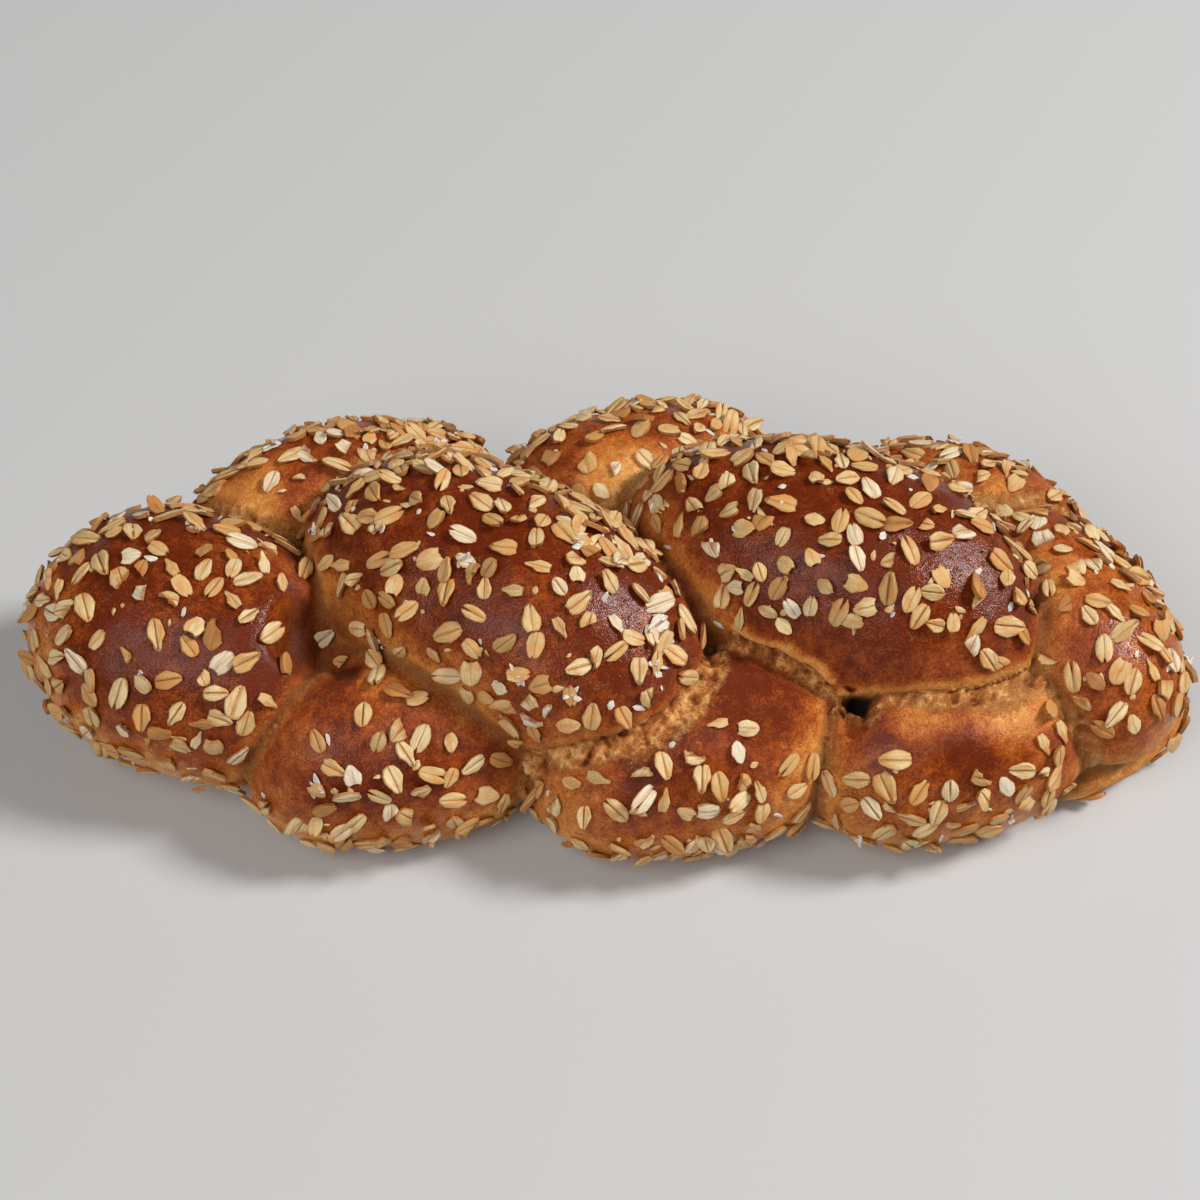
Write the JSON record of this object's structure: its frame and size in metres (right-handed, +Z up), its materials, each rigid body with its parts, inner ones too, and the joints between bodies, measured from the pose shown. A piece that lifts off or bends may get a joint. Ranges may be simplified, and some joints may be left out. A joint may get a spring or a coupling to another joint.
{
  "type": "braided loaf",
  "caption": "Plaited bread loaf with plump overlapping lobes, a glossy brown crust and rolled oats baked on, lying on its flat base.",
  "frame": {"origin": "on the flat base, under the middle of the loaf's bounding box", "axes": "+X along the loaf towards its narrower end, +Y to its back, +Z up"},
  "size_m": [0.3422, 0.1576, 0.086],
  "materials": {
    "crust": "baked bread crust, egg-washed, satin to glossy",
    "oat_flakes": "dry toasted rolled oats, matte"
  },
  "bodies": {
    "root": {"braided_loaf": "crust"}
  },
  "joints": []
}
